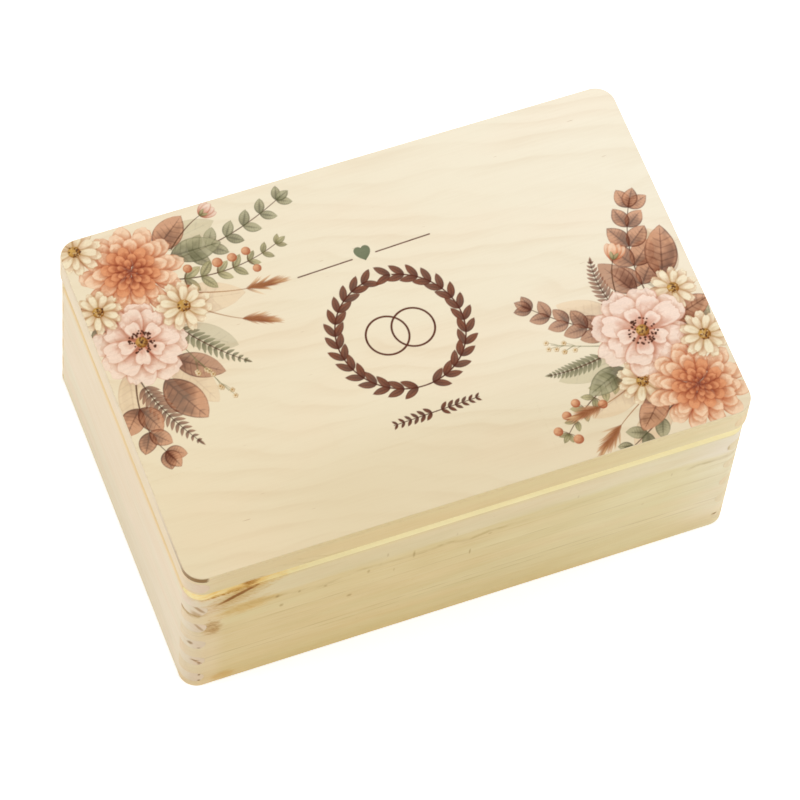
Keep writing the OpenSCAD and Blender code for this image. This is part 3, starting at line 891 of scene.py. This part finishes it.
# Fern: thin leaflets close together along a curved rib
def fern(sheet, p0, p1, p2, pairs, length, ink, seed):
    look = {"form": (0.5, 0.8), "veins": 0, "cover": 0.88, "shadow": 0}
    points, turns = bend(p0, p1, p2, pairs + 3)
    for k in range(2, pairs + 2):
        s = k / (pairs + 2)
        size = length * (0.35 + 1.5 * s * (1 - s) + 0.35 * (1 - s)) * (1 - s) ** 0.25
        for side in (-1, 1):
            petal(sheet, *points[k], turns[k] + side * 1.02, size, 0.9 + size * 0.2, ink,
                  seed * 13 + 2 * k + side, curl=-side * 0.12, ruffle=0.02, rib=0.35, rim=0.35, **look)
    petal(sheet, *points[-2], turns[-1], length * 0.5, 1.6, ink, seed, **look)
    stem(sheet, p0, p1, p2, 0.8, tone=0.15)


# Hare's tail: a soft oval head of fine hairs on a thin stalk
def hareTail(sheet, foot, middle, head, size, seed, hairs=46):
    stem(sheet, foot, middle, head, 0.7, "sand", 0)
    turn = bend(foot, middle, head, 8)[1][-1]
    rng = np.random.default_rng(seed)
    for k in range(hairs):
        s = k / (hairs - 1)
        spread = (0.75 - 0.55 * s) * (2 * rng.random() - 1)
        root = polar(*head, size * (0.75 * s - 0.1), turn)
        petal(sheet, *root, turn + spread, size * (0.42 + 0.16 * rng.random()), 1.3, "sand", seed * 7 + k,
              form=(0.4, 0.9), ruffle=0, veins=0, cover=0.72, shadow=0.2, rim=0.25,
              tone=0.25 * (rng.random() - 0.3))


# Flower: rings of petals from the outside in. Each ring is (petals, start, length, width,
# ink, tone) in shares of the flower's radius.
def flower(sheet, x, y, radius, rings, seed, **look):
    rng = np.random.default_rng(seed)
    for i, (count, start, long, wide, ink, tone) in enumerate(rings):
        first = rng.random() * brush["anyTurn"]
        for j in rng.permutation(count):
            turn = first + brush["fullTurn"] * (j + 0.22 * (rng.random() - 0.5)) / count
            size = radius * long * (0.93 + 0.14 * rng.random())
            petal(sheet, *polar(x, y, radius * start, turn), turn, size,
                  radius * wide * (0.92 + 0.16 * rng.random()), ink, seed * 101 + 17 * i + int(j),
                  curl=0.1 * (rng.random() - 0.5), ruffle=0.1, shadow=0.75,
                  tone=tone + 0.16 * (rng.random() - 0.5), **look)


def dahlia(sheet, x, y, radius, seed):
    flower(sheet, x, y, radius, (
        (12, 0.42, 0.58, 0.36, "peach", 0.05), (12, 0.34, 0.52, 0.33, "peach", 0),
        (11, 0.26, 0.46, 0.29, "peach", -0.1), (10, 0.18, 0.38, 0.25, "terracotta", 0.2),
        (9, 0.11, 0.3, 0.2, "terracotta", 0.05), (7, 0.05, 0.22, 0.15, "terracotta", -0.12),
        (5, 0, 0.14, 0.1, "terracotta", -0.3)), seed, form=(0.8, 0.55), veins=0.2, cup=0.12)


def cosmos(sheet, x, y, radius, seed):
    flower(sheet, x, y, radius, (
        (8, 0.1, 0.9, 0.62, "blush", 0.02), (8, 0.08, 0.74, 0.52, "blush", 0.14),
        (5, 0.06, 0.46, 0.34, "blush", 0.02)), seed, form=(0.75, 0.34), notch=0.06, veins=0.2, cup=0.05)
    rng = np.random.default_rng(seed + 1)
    for k in range(60):
        r, a = radius * (0.1 + 0.2 * rng.random() ** 0.7), rng.random() * brush["anyTurn"]
        dot(sheet, *polar(x, y, r, a), 0.42 + 0.25 * rng.random(), "stamen", k, 0.85)
    dot(sheet, x, y, radius * 0.13, "gold", seed)
    for k in range(16):
        r, a = radius * 0.12 * rng.random(), rng.random() * brush["anyTurn"]
        dot(sheet, *polar(x, y, r, a), 0.5, "stamen", k, 0.5)


def daisy(sheet, x, y, radius, seed):
    flower(sheet, x, y, radius, ((11, 0.12, 0.88, 0.4, "cream", 0), (9, 0.1, 0.72, 0.34, "cream", 0.12)),
           seed, form=(0.7, 0.45), notch=0.04, veins=0.22)
    dot(sheet, x, y, radius * 0.24, "gold", seed)
    rng = np.random.default_rng(seed)
    for k in range(26):
        r, a = radius * (0.05 + 0.2 * rng.random()), rng.random() * brush["anyTurn"]
        dot(sheet, *polar(x, y, r, a), 0.45, ("stamen", "cream")[k % 2], k, 0.7)


# Bud: four petals half closed, with two sepals at their root
def bud(sheet, foot, middle, head, size, ink, seed):
    stem(sheet, foot, middle, head, 0.8)
    turn = bend(foot, middle, head, 8)[1][-1]
    for k, swing in enumerate((-0.5, 0.5, -0.18, 0.2)):
        petal(sheet, *head, turn + swing, size, size * 0.52, ink, seed + k, form=(0.6, 0.6), shadow=0.6)
    for swing in (-0.45, 0.4):
        petal(sheet, *head, turn + swing, size * 0.5, size * 0.22, "olive", seed + 9,
              form=(0.6, 0.8), veins=0, shadow=0.3)


# Spray: a thin forked stalk that ends in tiny flowers
def spray(sheet, foot, middle, head, count, reach, ink, seed):
    stem(sheet, foot, middle, head, 0.6, "olive", 0.2, 0.8)
    rng = np.random.default_rng(seed)
    f, m, h = (np.array(p, float) for p in (foot, middle, head))
    for k in range(count):
        s = 0.35 + 0.65 * rng.random()
        root = (1 - s) ** 2 * f + 2 * s * (1 - s) * m + s ** 2 * h
        a = math.atan2(*(h - f)[::-1]) + 1.5 * (rng.random() - 0.5)
        tip = polar(*root, reach * (0.4 + 0.6 * rng.random()), a)
        stem(sheet, root, (root + tip) / 2 + 0.5, tip, 0.4, "olive", 0.2, 0.7)
        for j in range(5):
            dot(sheet, *polar(*tip, 0.8, j * brush["fifth"]), 0.75, ink, seed + k, 0.85, 0.2)
        dot(sheet, *tip, 0.4, "gold", k, 0.9)


# Garlands: the pieces from the bottom up. A row is what to draw and its values: place or curve,
# turn, sizes, ink and seed, and at its end the tone.
garlands = {
    # Blooms go down the short edge, sage sprays and grass heads along the long one
    "back": (
        (pale, -108, 52, -0.25, 40, 18, "sand"), (pale, -104, 84, 0.1, 34, 15, "olive"),
        (pale, -118, 22, -1.1, 36, 17, "sand"), (pale, -108, 36, -0.7, 32, 15, "sage"),
        (pale, -140, 20, -1.75, 32, 14, "sand"),
        (fern, (-136, 14), (-133, -6), (-118, -30), 14, 9.5, "plum", 3),
        (twig, (-138, 14), (-146, -10), (-137, -28), 3, 19, 13.5, "russet", 5, 0.62, 0.1),
        (leaf, -124, 10, -1.16, 30, 18, "russet", 8, -0.02),
        (leaf, -116, 20, -0.62, 27, 14, "plum", 9, 0.24),
        (twig, (-98, 74), (-68, 74), (-36, 90), 6, 14, 8.2, "sage", 12, 0.8, 0.08),
        (twig, (-104, 64), (-74, 54), (-45, 66), 7, 11, 5.4, "olive", 15, 0.75, 0.05, "berry"),
        (hareTail, (-98, 54), (-78, 47), (-66, 46), 19, 21),
        (hareTail, (-100, 48), (-84, 34), (-74, 30), 17, 22),
        (fern, (-110, 40), (-98, 20), (-80, 6), 12, 8, "sage", 7),
        (spray, (-112, 32), (-104, 12), (-96, -6), 9, 9, "cream", 11),
        (leaf, -104, 82, 0.62, 24, 15, "russet", 31, 0.12),
        (leaf, -98, 76, 0.02, 27, 14, "sage", 33),
        (leaf, -134, 52, -2.42, 26, 14, "sage", 35),
        (leaf, -136, 58, -3, 22, 12, "russet", 36, 0.15),
        (bud, (-96, 80), (-86, 90), (-76, 94), 9, "blush", 51),
        (dahlia, -120, 74, 27, 43),
        (daisy, -143, 94, 13.5, 47),
        (cosmos, -128, 34, 24, 41),
        (daisy, -101, 47, 14.5, 45),
        (daisy, -143, 57, 12.5, 46),
    ),
    # The large bloom in the corner, its companions up the short edge
    "front": (
        (pale, 104, -34, 2.45, 34, 16, "sand"), (pale, 104, -66, -2.8, 36, 17, "sand"),
        (pale, 128, -20, 1.4, 36, 15, "sage"), (pale, 96, -52, -3.05, 34, 14, "olive"),
        (pale, 112, -84, -2.6, 34, 15, "sand"), (pale, 142, -14, 1.7, 28, 14, "sand"),
        (twig, (124, -28), (119, 2), (133, 28), 5, 20, 13.5, "russet", 61, 0.68, 0.1),
        (leaf, 134, -16, 1.22, 31, 17, "russet", 63, -0.05),
        (leaf, 118, -20, 2.02, 25, 14, "plum", 64, 0.25),
        (fern, (106, -28), (99, -10), (103, 6), 11, 7.5, "plum", 65),
        (twig, (104, -40), (82, -30), (64, -12), 5, 16, 10, "plum", 67, 0.62, 0.08),
        (twig, (98, -60), (74, -66), (56, -84), 6, 10, 5, "olive", 69, 0.8, 0.05, "berry"),
        (hareTail, (106, -74), (90, -82), (81, -89), 19, 71),
        (hareTail, (102, -66), (84, -74), (75, -75), 16, 73),
        (twig, (114, -84), (98, -94), (84, -101), 3, 15, 9.5, "sage", 75, 0.7),
        (fern, (92, -48), (72, -52), (58, -50), 12, 7, "sage", 77),
        (spray, (94, -44), (80, -40), (66, -34), 7, 8, "cream", 78),
        (leaf, 96, -58, -2.8, 24, 13, "sage", 79, 0.1),
        (leaf, 110, -76, -2.3, 26, 14, "russet", 80, 0.18),
        (bud, (108, -22), (108, -8), (114, 2), 10, "peach", 91),
        (leaf, 132, -52, 0.75, 26, 15, "sage", 93, 0.05),
        (leaf, 128, -40, 0.25, 26, 14, "russet", 94, 0.15),
        (daisy, 137, -23, 13, 87),
        (daisy, 102, -68, 13.5, 89),
        (cosmos, 113, -41, 26, 83),
        (dahlia, 128, -79, 26, 81),
        (daisy, 142, -53, 13.5, 85),
    ),
}
middle = {
    "ring": (-3, -2), "radius": 33, "inner": 11, "shift": 7,
    "rule": (-5, 45), "heart": 8.6, "sprig": (-2, -50.5), "lean": 0.035,
}


# Middle: a rule with a heart, under it a laurel ring about two plain rings, and a sprig at the
# foot. All of it leans a little, as the print does.
def middleOrnament(s):
    r, lean, quarter = middle["radius"], middle["lean"], math.pi / 2
    x, y = middle["ring"]

    def beside(far):
        return x + far, y + far * lean

    ring(s, x, y, r, 0.8, 0.22)
    for way in (-1, 1):
        for k in range(14):
            a = way * (0.24 + (math.pi - 0.36) * k / 13) - lean
            for side in (-1, 1):
                turn = quarter - a + way * quarter + side * 0.52
                leaf(s, x + r * math.sin(a), y + r * math.cos(a), turn, 9.6, 4, "umber",
                     200 + 2 * k + side, 0.05, 1)
        ring(s, *beside(way * middle["shift"]), middle["inner"], 1.1)
    x, y = middle["rule"]
    for way in (-1, 1):
        stem(s, *(beside(way * far) for far in (6.5, 20, 36)), 0.7, "umber", 0.3, 1, 0)
    heart(s, x, y + 0.6, middle["heart"])
    x, y = middle["sprig"]
    for way in (-1, 1):
        stem(s, *(beside(way * far) for far in (0, 12, 23)), 0.6, "umber", 0.3, 1, 0.3)
        for k in range(6):
            for side in (-1, 1):
                turn = quarter - way * (quarter - side * 0.75)
                leaf(s, *beside(way * (2.5 + 3.7 * k)), turn, 5.2 - 0.35 * k, 2.2 - 0.15 * k, "umber",
                     400 + 4 * k + side, 0.05, 1)


# Ring: full ink where the distance to a circle is under half its thickness, with a gap at its top
def ring(s, x, y, r, thick, gap=-1):
    at = near(s, x, y, r + 3)
    px, py = s["x"][at] - x, s["y"][at] - y
    d = np.abs(np.hypot(px, py) - r) - thick / 2
    mask = np.clip(0.5 - d / (1.2 * s["cell"]), 0, 1) * (np.abs(np.arctan2(px, py)) > gap)
    lay(s, at, mask, shade("umber", 0.3 + 0.5 * (wash(px * 0.3 + 40, py * 0.3 + 40, 6, 2) - 0.5)))


# Heart: two round lobes over a point, |x|^2 + (1.12 y - 0.68 sqrt|x|)^2 under 1
def heart(s, x, y, wide):
    at = near(s, x, y, wide)
    px, py = (s["x"][at] - x) / (wide / 2), (s["y"][at] - y) / (wide / 2)
    d = 1 - np.sqrt(px ** 2 + (1.12 * py - 0.68 * np.sqrt(np.abs(px))) ** 2)
    mask = np.clip(d * wide / 2 / s["cell"] + 0.5, 0, 1)
    lay(s, at, mask, shade("moss", 0.5 + 0.8 * (wash(px * 1.5 + 9, py * 1.5 + 9, 8, 3) - 0.5)))


# Films: the lid's face in seven sheets (left, right, front, back), in millimetres
film = {
    "halfWide": 150.55, "halfDeep": 100.55, "corner": 10.05,  # just inside the lid's own edge
    "top": 125.045, "foot": 124.97,
    "cell": 0.33,
    "sheets": {
        "print_back_left": (-150.55, -56, 28, 100.55),
        "print_left": (-150.55, -56, -42, 28),
        "print_back": (-56, -28, 52, 100.55),
        "print_middle_back": (-56, 47, -6, 52),
        "print_middle_front": (-56, 47, -62, -6),
        "print_right": (47, 150.55, -28, 44),
        "print_front_right": (47, 150.55, -100.55, -28),
    },
    "tintShare": 0.6,  # how far the wood's figure tints the ink
}


# Linear light from screen values, by the standard curve
def linear(ink):
    return np.where(ink <= 0.04045, ink / 12.92, ((ink + 0.055) / 1.055) ** 2.4)


# Film: the sheet's grid as a closed slab under 0.1 mm thick. Each row ends on the rounded
# corner, where the points beyond it gather in one, and the ring of edge points goes down.
def filmPiece(name, s):
    rows, cols = s["x"].shape
    xs, ys, corner = s["x"][0], s["y"][:, 0], film["corner"]
    past = np.clip(np.abs(ys) - (film["halfDeep"] - corner), 0, corner)
    reach = film["halfWide"] - corner + np.sqrt(corner ** 2 - past ** 2)
    first = np.clip(np.searchsorted(xs, -reach + 1e-6) - 1, 0, cols - 1)
    last = np.clip(np.searchsorted(xs, reach - 1e-6), 0, cols - 1)
    use = np.clip(np.arange(cols)[None, :], first[:, None], last[:, None])
    at = np.arange(rows)[:, None] * cols + use
    xIn = np.clip(s["x"], -reach[:, None], reach[:, None])
    place = np.stack([xIn, s["y"], np.full(xIn.shape, film["top"])], -1).reshape(-1, 3)
    a, b, c, d = (k.ravel() for k in (at[:-1, :-1], at[:-1, 1:], at[1:, 1:], at[1:, :-1]))
    quads = np.stack([a, b, c, d], 1)[(a != b) & (c != d)]
    narrow = np.concatenate([np.stack([a, c, d], 1)[(a == b) & (c != d)],
                             np.stack([a, b, c], 1)[(a != b) & (c == d)]])
    loop = np.concatenate([at[0, first[0]:last[0] + 1], at[1:, -1],
                           at[-1, first[-1]:last[-1]][::-1], at[1:-1, 0][::-1]])
    used, flat = np.unique(np.concatenate([quads.ravel(), narrow.ravel(), loop]), return_inverse=True)
    pieces = np.split(flat, [quads.size, quads.size + narrow.size])
    quads, narrow, loop = pieces[0].reshape(quads.shape), pieces[1].reshape(narrow.shape), pieces[2]
    under = place[used][loop] * (1, 1, 0) + (0, 0, film["foot"])
    low = len(used) + np.arange(len(loop))
    sides = np.stack([low, np.roll(low, -1), np.roll(loop, -1), loop], 1)
    points = np.concatenate([place[used], under]) / 1000
    faces = quads.tolist() + narrow.tolist() + sides.tolist() + [low[::-1].tolist()]
    mesh = bpy.data.meshes.new(name)
    mesh.from_pydata(points, [], faces)
    # The paint is stored as colour times cover, so that it fades evenly between the points
    cover = s["cover"][..., None]
    top = np.concatenate([linear(s["ink"]) * cover, cover], -1).reshape(-1, 4)[used]
    paint = np.concatenate([top, np.zeros((len(loop), 4))])
    mesh.color_attributes.new("printInk", "FLOAT_COLOR", "POINT").data.foreach_set("color", paint.ravel())
    obj = newObject(name, mesh)
    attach(obj, "lid")
    return obj


# Printed birch: the wood shows where the print has no cover, and tints the ink a little
def printMaterial(name):
    mat = newMaterial(name)
    x, y, up = parts(placed()[0])
    # The wood is the lid face's, with its painted sheen and shade
    wood, fibre, rough, height = birchFace(x, y, panels["lid_panel"]["shift"])
    inked = add("ShaderNodeAttribute", {"attribute_name": "printInk"}).outputs
    figure = vec("DIVIDE", wood, plywood["face"])
    tint = blendColour(film["tintShare"], (1, 1, 1), figure)
    grain = span(fibre, 0.3, 0.7, 0.95, 1.05, "LINEAR")
    ink = product(product(inked["Color"], tint), join(grain, grain, grain))
    bare = blendColour(inked["Alpha"], wood, (0, 0, 0))
    colour = blendColour(1, bare, ink, "ADD")
    rough = scaled(inked["Alpha"], 0.05, rough)
    finish(colour, rough, height, plywood["relief"], Specular_IOR_Level=plywood["gloss"])
    return mat


printedBirch = printMaterial("printedBirch")
for pieceName, (x0, x1, y0, y1) in film["sheets"].items():
    sheet = newSheet(x0, x1, y0, y1, film["cell"])
    for draw, *values in garlands["back"] + garlands["front"]:
        draw(sheet, *values)
    middleOrnament(sheet)
    filmPiece(pieceName, sheet).data.materials.append(printedBirch)
print("stage 5: print on the lid")

# Hinges: rolled brass with fine scratches and a little tarnish, and a steel wire as the pin
metals = {
    "brass": {"bright": (0.8, 0.6, 0.29), "dull": (0.58, 0.4, 0.18), "rough": 0.27,
              "scratch": ((0.05, 2.5, 2.5), 3, 0.7)},
    "steel": {"bright": (0.66, 0.66, 0.65), "dull": (0.42, 0.42, 0.42), "rough": 0.24,
              "scratch": ((0.08, 3, 3), 3, 0.7)},
    "tarnish": ((0.35, 0.35, 0.35), 4, 0.6, (0.42, 0.72)),
    "relief": 0.00003,
}


def metalMaterial(name, m):
    mat = newMaterial(name)
    place = placed()[0]
    tarnish = cloud(place, metals["tarnish"])
    scratch = cloud(place, m["scratch"])
    colour = blendColour(times(tarnish, 0.7), m["bright"], m["dull"])
    rough = scaled(scratch, 0.2, scaled(tarnish, 0.12, m["rough"] - 0.08))
    finish(colour, rough, scratch, metals["relief"], Metallic=1)
    return mat


brass = metalMaterial("hingeBrass", metals["brass"])
steel = metalMaterial("pinSteel", metals["steel"])
for name in nodes:
    if "hinge" in name:
        dress(name, steel if name.endswith("pin") else brass)
print("stage 6: hinges")
